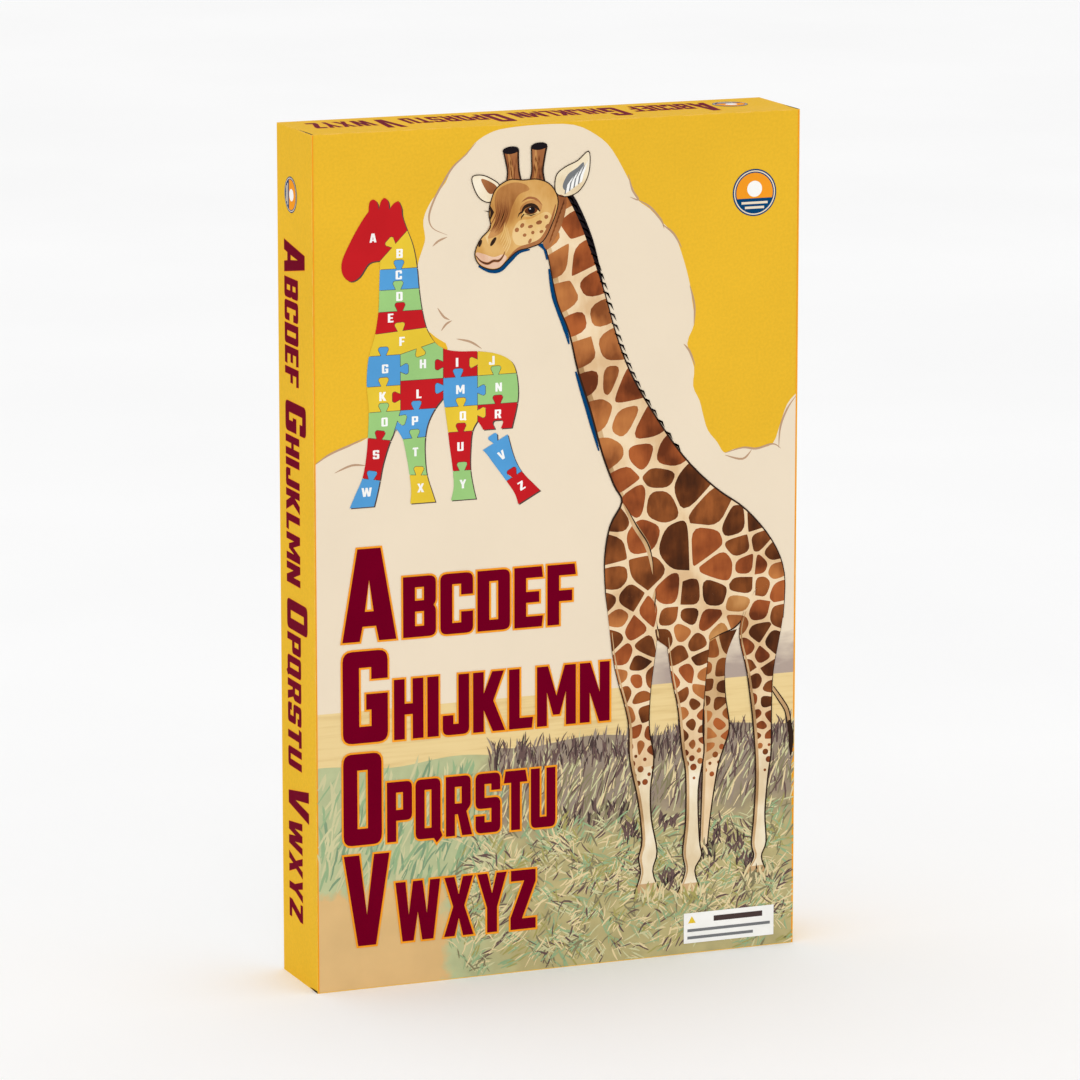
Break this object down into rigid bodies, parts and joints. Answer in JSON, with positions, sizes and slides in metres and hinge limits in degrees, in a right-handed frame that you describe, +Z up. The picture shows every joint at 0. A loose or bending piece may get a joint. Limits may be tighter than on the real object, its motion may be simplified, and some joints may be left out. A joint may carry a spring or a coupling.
{
  "type": "boxed jigsaw puzzle",
  "caption": "Flat two-part setup box, a deep lid over a tray, holding a thick wooden giraffe puzzle cut into interlocking lettered pieces.",
  "frame": {"origin": "centre of the closed box's footprint, on the surface that it stands on", "axes": "+Z up the box's length, from the giraffe's feet to its head; -Y out of the lid's face, the way the lid lifts off; +X to the right as the lid's face is seen"},
  "size_m": [0.203, 0.04, 0.337],
  "materials": {
    "greyboard": "matte",
    "stay_tape": "matte",
    "tray_paper": "matte",
    "lid_paper": "satin",
    "painted_wood_red": "satin",
    "painted_wood_yellow": "satin",
    "painted_wood_blue": "satin",
    "painted_wood_green": "satin"
  },
  "bodies": {
    "tray": {"tray_board": "greyboard", "tray_corner_stays": "stay_tape", "tray_wrap": "tray_paper"},
    "lid": {"lid_board": "greyboard", "lid_corner_stays": "stay_tape", "lid_wrap": "lid_paper"},
    "letter_A": {"piece_A": "painted_wood_red"},
    "letter_B": {"piece_B": "painted_wood_yellow"},
    "letter_C": {"piece_C": "painted_wood_blue"},
    "letter_D": {"piece_D": "painted_wood_green"},
    "letter_E": {"piece_E": "painted_wood_red"},
    "letter_F": {"piece_F": "painted_wood_yellow"},
    "letter_G": {"piece_G": "painted_wood_blue"},
    "letter_H": {"piece_H": "painted_wood_green"},
    "letter_I": {"piece_I": "painted_wood_red"},
    "letter_J": {"piece_J": "painted_wood_yellow"},
    "letter_K": {"piece_K": "painted_wood_yellow"},
    "letter_L": {"piece_L": "painted_wood_red"},
    "letter_M": {"piece_M": "painted_wood_blue"},
    "letter_N": {"piece_N": "painted_wood_green"},
    "letter_O": {"piece_O": "painted_wood_green"},
    "letter_P": {"piece_P": "painted_wood_blue"},
    "letter_Q": {"piece_Q": "painted_wood_yellow"},
    "letter_R": {"piece_R": "painted_wood_red"},
    "letter_S": {"piece_S": "painted_wood_red"},
    "letter_T": {"piece_T": "painted_wood_green"},
    "letter_U": {"piece_U": "painted_wood_red"},
    "letter_V": {"piece_V": "painted_wood_blue"},
    "letter_W": {"piece_W": "painted_wood_blue"},
    "letter_X": {"piece_X": "painted_wood_yellow"},
    "letter_Y": {"piece_Y": "painted_wood_green"},
    "letter_Z": {"piece_Z": "painted_wood_red"}
  },
  "joints": [
    {"name": "lid_lift", "type": "slide", "parent": "tray", "child": "lid", "axis": [0, -1, 0], "range_m": [0, 0.12]},
    {"name": "piece_A_lift", "type": "slide", "parent": "tray", "child": "letter_A", "axis": [0, -1, 0], "range_m": [0, 0.018]},
    {"name": "piece_B_lift", "type": "slide", "parent": "tray", "child": "letter_B", "axis": [0, -1, 0], "range_m": [0, 0.018]},
    {"name": "piece_C_lift", "type": "slide", "parent": "tray", "child": "letter_C", "axis": [0, -1, 0], "range_m": [0, 0.018]},
    {"name": "piece_D_lift", "type": "slide", "parent": "tray", "child": "letter_D", "axis": [0, -1, 0], "range_m": [0, 0.018]},
    {"name": "piece_E_lift", "type": "slide", "parent": "tray", "child": "letter_E", "axis": [0, -1, 0], "range_m": [0, 0.018]},
    {"name": "piece_F_lift", "type": "slide", "parent": "tray", "child": "letter_F", "axis": [0, -1, 0], "range_m": [0, 0.018]},
    {"name": "piece_G_lift", "type": "slide", "parent": "tray", "child": "letter_G", "axis": [0, -1, 0], "range_m": [0, 0.018]},
    {"name": "piece_H_lift", "type": "slide", "parent": "tray", "child": "letter_H", "axis": [0, -1, 0], "range_m": [0, 0.018]},
    {"name": "piece_I_lift", "type": "slide", "parent": "tray", "child": "letter_I", "axis": [0, -1, 0], "range_m": [0, 0.018]},
    {"name": "piece_J_lift", "type": "slide", "parent": "tray", "child": "letter_J", "axis": [0, -1, 0], "range_m": [0, 0.018]},
    {"name": "piece_K_lift", "type": "slide", "parent": "tray", "child": "letter_K", "axis": [0, -1, 0], "range_m": [0, 0.018]},
    {"name": "piece_L_lift", "type": "slide", "parent": "tray", "child": "letter_L", "axis": [0, -1, 0], "range_m": [0, 0.018]},
    {"name": "piece_M_lift", "type": "slide", "parent": "tray", "child": "letter_M", "axis": [0, -1, 0], "range_m": [0, 0.018]},
    {"name": "piece_N_lift", "type": "slide", "parent": "tray", "child": "letter_N", "axis": [0, -1, 0], "range_m": [0, 0.018]},
    {"name": "piece_O_lift", "type": "slide", "parent": "tray", "child": "letter_O", "axis": [0, -1, 0], "range_m": [0, 0.018]},
    {"name": "piece_P_lift", "type": "slide", "parent": "tray", "child": "letter_P", "axis": [0, -1, 0], "range_m": [0, 0.018]},
    {"name": "piece_Q_lift", "type": "slide", "parent": "tray", "child": "letter_Q", "axis": [0, -1, 0], "range_m": [0, 0.018]},
    {"name": "piece_R_lift", "type": "slide", "parent": "tray", "child": "letter_R", "axis": [0, -1, 0], "range_m": [0, 0.018]},
    {"name": "piece_S_lift", "type": "slide", "parent": "tray", "child": "letter_S", "axis": [0, -1, 0], "range_m": [0, 0.018]},
    {"name": "piece_T_lift", "type": "slide", "parent": "tray", "child": "letter_T", "axis": [0, -1, 0], "range_m": [0, 0.018]},
    {"name": "piece_U_lift", "type": "slide", "parent": "tray", "child": "letter_U", "axis": [0, -1, 0], "range_m": [0, 0.018]},
    {"name": "piece_V_lift", "type": "slide", "parent": "tray", "child": "letter_V", "axis": [0, -1, 0], "range_m": [0, 0.018]},
    {"name": "piece_W_lift", "type": "slide", "parent": "tray", "child": "letter_W", "axis": [0, -1, 0], "range_m": [0, 0.018]},
    {"name": "piece_X_lift", "type": "slide", "parent": "tray", "child": "letter_X", "axis": [0, -1, 0], "range_m": [0, 0.018]},
    {"name": "piece_Y_lift", "type": "slide", "parent": "tray", "child": "letter_Y", "axis": [0, -1, 0], "range_m": [0, 0.018]},
    {"name": "piece_Z_lift", "type": "slide", "parent": "tray", "child": "letter_Z", "axis": [0, -1, 0], "range_m": [0, 0.018]}
  ]
}
